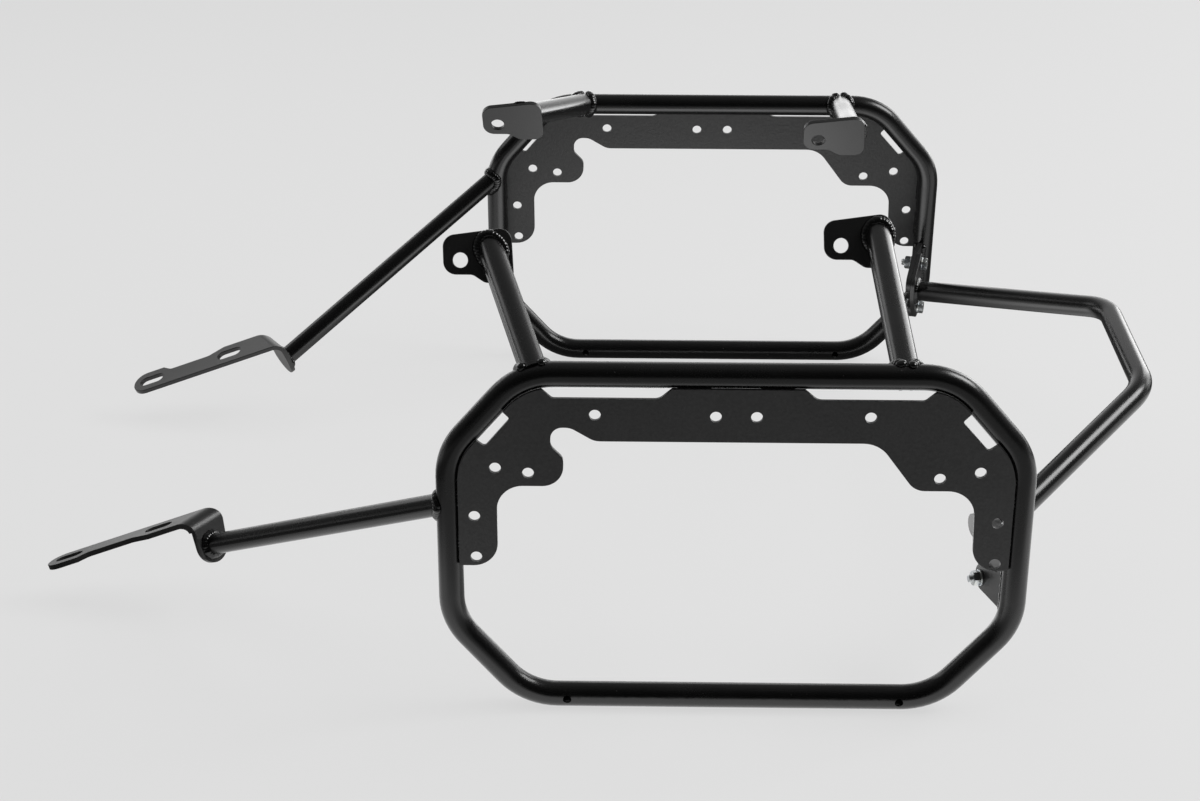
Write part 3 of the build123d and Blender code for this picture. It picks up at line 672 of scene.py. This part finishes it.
def fastener_tree():
    """Geometry Nodes: one fastener on every bolt hole, turned to the lug."""
    tree, identifiers = open_tree(
        "fasteners", {"Fastener": "NodeSocketObject", "Finish": "NodeSocketMaterial"}
    )
    make = tree.nodes.new
    link = tree.links.new
    given = make("NodeGroupInput")
    result = make("NodeGroupOutput")
    shape = make("GeometryNodeObjectInfo")
    stand = make("FunctionNodeAlignRotationToVector")
    stand.axis = "Z"
    scatter = make("GeometryNodeInstanceOnPoints")
    realize = make("GeometryNodeRealizeInstances")
    paint = make("GeometryNodeSetMaterial")
    link(given.outputs["Fastener"], shape.inputs["Object"])
    link(vector_layer(tree, "way"), stand.inputs["Vector"])
    link(given.outputs["Geometry"], scatter.inputs["Points"])
    link(shape.outputs["Geometry"], scatter.inputs["Instance"])
    link(stand.outputs["Rotation"], scatter.inputs["Rotation"])
    link(scatter.outputs["Instances"], realize.inputs["Geometry"])
    link(realize.outputs["Geometry"], paint.inputs["Geometry"])
    link(given.outputs["Finish"], paint.inputs["Material"])
    link(paint.outputs["Geometry"], result.inputs["Geometry"])
    return tree, identifiers


bolt_mesh = joined("bolt", [threaded_shank(), hexagon(head_seat, head_seat + head_h, 0.0)])
nut_mesh = joined("nut", [hexagon(-nut_seat - nut_h, -nut_seat, bolt_r + nut_gap)])
washer_mesh = joined("washer", [washer(-nut_seat, -lug_half), washer(lug_half + flange_t, head_seat)])
fastener_nodes, fastener_inputs = fastener_tree()
hole_places = []
hole_ways = []
for side in ("left", "right"):
    for inward, height in bolt_spots:
        hole = lug_at + lug_in * inward + Vector((0.0, 0.0, height))
        hole_places.append(flip(hole, side))
        hole_ways.append(flip(lug_back, side))
for name, mesh, node in (
    ("hex_bolts", bolt_mesh, "bar_bolts"),
    ("hex_nuts", nut_mesh, "bar_nuts"),
    ("flat_washers", washer_mesh, "bar_washers"),
):
    pattern = bpy.data.objects.new(name + "_pattern", mesh)
    draft = scattered(
        name,
        hole_places,
        {"way": hole_ways},
        fastener_nodes,
        {fastener_inputs["Fastener"]: pattern, fastener_inputs["Finish"]: zinc},
    )
    settle(draft, zinc, "zinc_fasteners", node)
    bpy.data.objects.remove(pattern)
    draft.data.shade_smooth()
    draft.data.set_sharp_from_angle(angle=smooth_within)


# Floor: a plain pale ground, one even tone to the camera with a soft shadow. To mirrored rays it glows
# with painted light and shade: what the black coat mirrors of it is bright under and between the racks,
# dark behind them, and pale again far back.
floor_half = 20.0
lit_grey = 0.72
shadow_grey = 0.1
glow_grey = 0.64
floor_mesh = bpy.data.meshes.new("floor")
floor_mesh.from_pydata(
    [(-floor_half, -floor_half, 0.0), (floor_half, -floor_half, 0.0),
     (floor_half, floor_half, 0.0), (-floor_half, floor_half, 0.0)],
    [],
    [(0, 1, 2, 3)],
)
floor = bpy.data.objects.new("floor", floor_mesh)
scene_objects.link(floor)
ground = bpy.data.materials.new("pale_ground")
ground.use_nodes = True
ground.node_tree.nodes.clear()
start = Wire(ground.node_tree)
seen = start.node("ShaderNodeLightPath", {}, {}, "Is Camera Ray")
mirrored = start.node("ShaderNodeLightPath", {}, {}, "Is Glossy Ray")
through = start.node("ShaderNodeLightPath", {}, {}, "Is Transmission Ray")
spot = start.node("ShaderNodeTexCoord", {}, {}, "Object")
along = start.node("ShaderNodeSeparateXYZ", {}, {"Vector": spot}, "X")
away = start.node("ShaderNodeSeparateXYZ", {}, {"Vector": spot}, "Y")


def shade_along(reach, stops):
    """A grey that changes along one side of the floor, with stops in metres from the middle."""
    span = 4.0
    placed = tuple((at / span + 0.5, shade) for at, shade in stops)
    return reach.node(
        "ShaderNodeValToRGB", {"stops": placed}, {"Fac": reach * (1.0 / span) + 0.5}, "Color"
    )


# Painted light and shade, seen only in reflections: the floor's glow in strips along y and across x.
front_strip = shade_along(away, ((-0.1, 0.1), (0.12, 0.9), (1.1, 0.9), (1.6, 2.5)))
end_strip = shade_along(
    away,
    ((-0.55, 0.38), (-0.42, 1.3), (-0.2, 1.1), (0.12, 1.2), (0.24, 0.1), (1.1, 0.1), (1.6, 2.5)),
)
middle_strip = shade_along(
    away,
    ((-0.55, 0.38), (-0.42, 0.9), (-0.36, 1.35), (-0.31, 1.35), (-0.25, 0.45), (-0.14, 0.45),
     (-0.07, 2.8), (0.1, 2.8), (0.2, 0.1), (1.1, 0.1), (1.6, 2.5)),
)
at_racks = shade_along(along, ((-1.4, 1.0), (-1.1, 0.0), (-0.42, 0.0), (-0.28, 1.0)))
at_middle = shade_along(along, ((-0.09, 0.0), (-0.03, 1.0), (0.21, 1.0), (0.26, 0.0)))
under_racks = end_strip * (1.0 - at_middle) + middle_strip * at_middle
painted_floor_glow = front_strip * (1.0 - at_racks) + under_racks * at_racks
lit = start.node("ShaderNodeBsdfDiffuse", {}, {"Color": grey(lit_grey)})
shadowed = start.node("ShaderNodeBsdfDiffuse", {}, {"Color": grey(shadow_grey)})
glow = start.node("ShaderNodeEmission", {}, {"Color": grey(glow_grey), "Strength": 1.0})
pale = start.node("ShaderNodeAddShader", {}, {0: shadowed, 1: glow})
# Mirrored rays see the painted glow as an emission of the floor.
bright = start.node("ShaderNodeEmission", {}, {"Color": painted_floor_glow, "Strength": 1.0})
gleam = start.node("ShaderNodeMath", {"operation": "MAXIMUM"}, {0: mirrored, 1: through})
unseen = start.node("ShaderNodeMixShader", {}, {"Fac": gleam, 1: lit, 2: bright})
shown = start.node("ShaderNodeMixShader", {}, {"Fac": seen, 1: unseen, 2: pale})
shown.into(ground.node_tree.nodes.new("ShaderNodeOutputMaterial"), "Surface")
floor_mesh.materials.append(ground)


# Light: a wide soft box overhead that leaves no mirror image, a box high on the right, two low strips
# behind on the right and a weak long one on the left, in a dim room that grows pale towards the back.
def soft_box(name, at, aim, size, power):
    """A rectangular lamp, with its size across and up and its power in watts."""
    lamp = bpy.data.lights.new(name, "AREA")
    lamp.shape = "RECTANGLE"
    lamp.size, lamp.size_y = size
    lamp.energy = power
    holder = bpy.data.objects.new(name, lamp)
    holder.location = at
    holder.rotation_euler = (Vector(aim) - Vector(at)).to_track_quat("-Z", "Y").to_euler()
    scene_objects.link(holder)
    return holder


overhead = soft_box("overhead_box", (0.0, 0.1, 2.4), (0.0, 0.0, 0.2), size=(3.4, 2.4), power=40.0)
overhead.visible_glossy = False
soft_box("right_box", (1.8, 0.1, 1.75), (0.1, -0.1, 0.2), size=(1.0, 1.0), power=36.0)
soft_box("back_strip", (1.56, 1.9, 0.75), (0.2, -0.2, 0.27), size=(0.6, 1.5), power=11.0)
soft_box("left_strip", (-1.1, 0.88, 0.76), (0.0, 0.0, 0.25), size=(1.0, 0.4), power=1.8)
soft_box("right_strip", (1.86, 1.16, 0.64), (0.25, -0.29, 0.2), size=(0.9, 0.7), power=4.5)
room_stops = (
    (0.05, 0.02), (0.29, 0.05), (0.5, 0.15), (0.71, 0.2), (0.85, 0.24), (0.93, 0.6), (1.0, 1.5),
)
room = bpy.data.worlds.new("room")
bpy.context.scene.world = room
room.use_nodes = True
backdrop = room.node_tree.nodes["Background"]
gaze = Wire(room.node_tree).node("ShaderNodeTexCoord", {}, {}, "Generated")
toward = gaze.node("ShaderNodeSeparateXYZ", {}, {"Vector": gaze}, "Y")
room_light = gaze.node(
    "ShaderNodeValToRGB", {"stops": room_stops}, {"Fac": toward * 0.5 + 0.5}, "Color"
)
room_light.into(backdrop, "Color")
backdrop.inputs["Strength"].default_value = 1.0
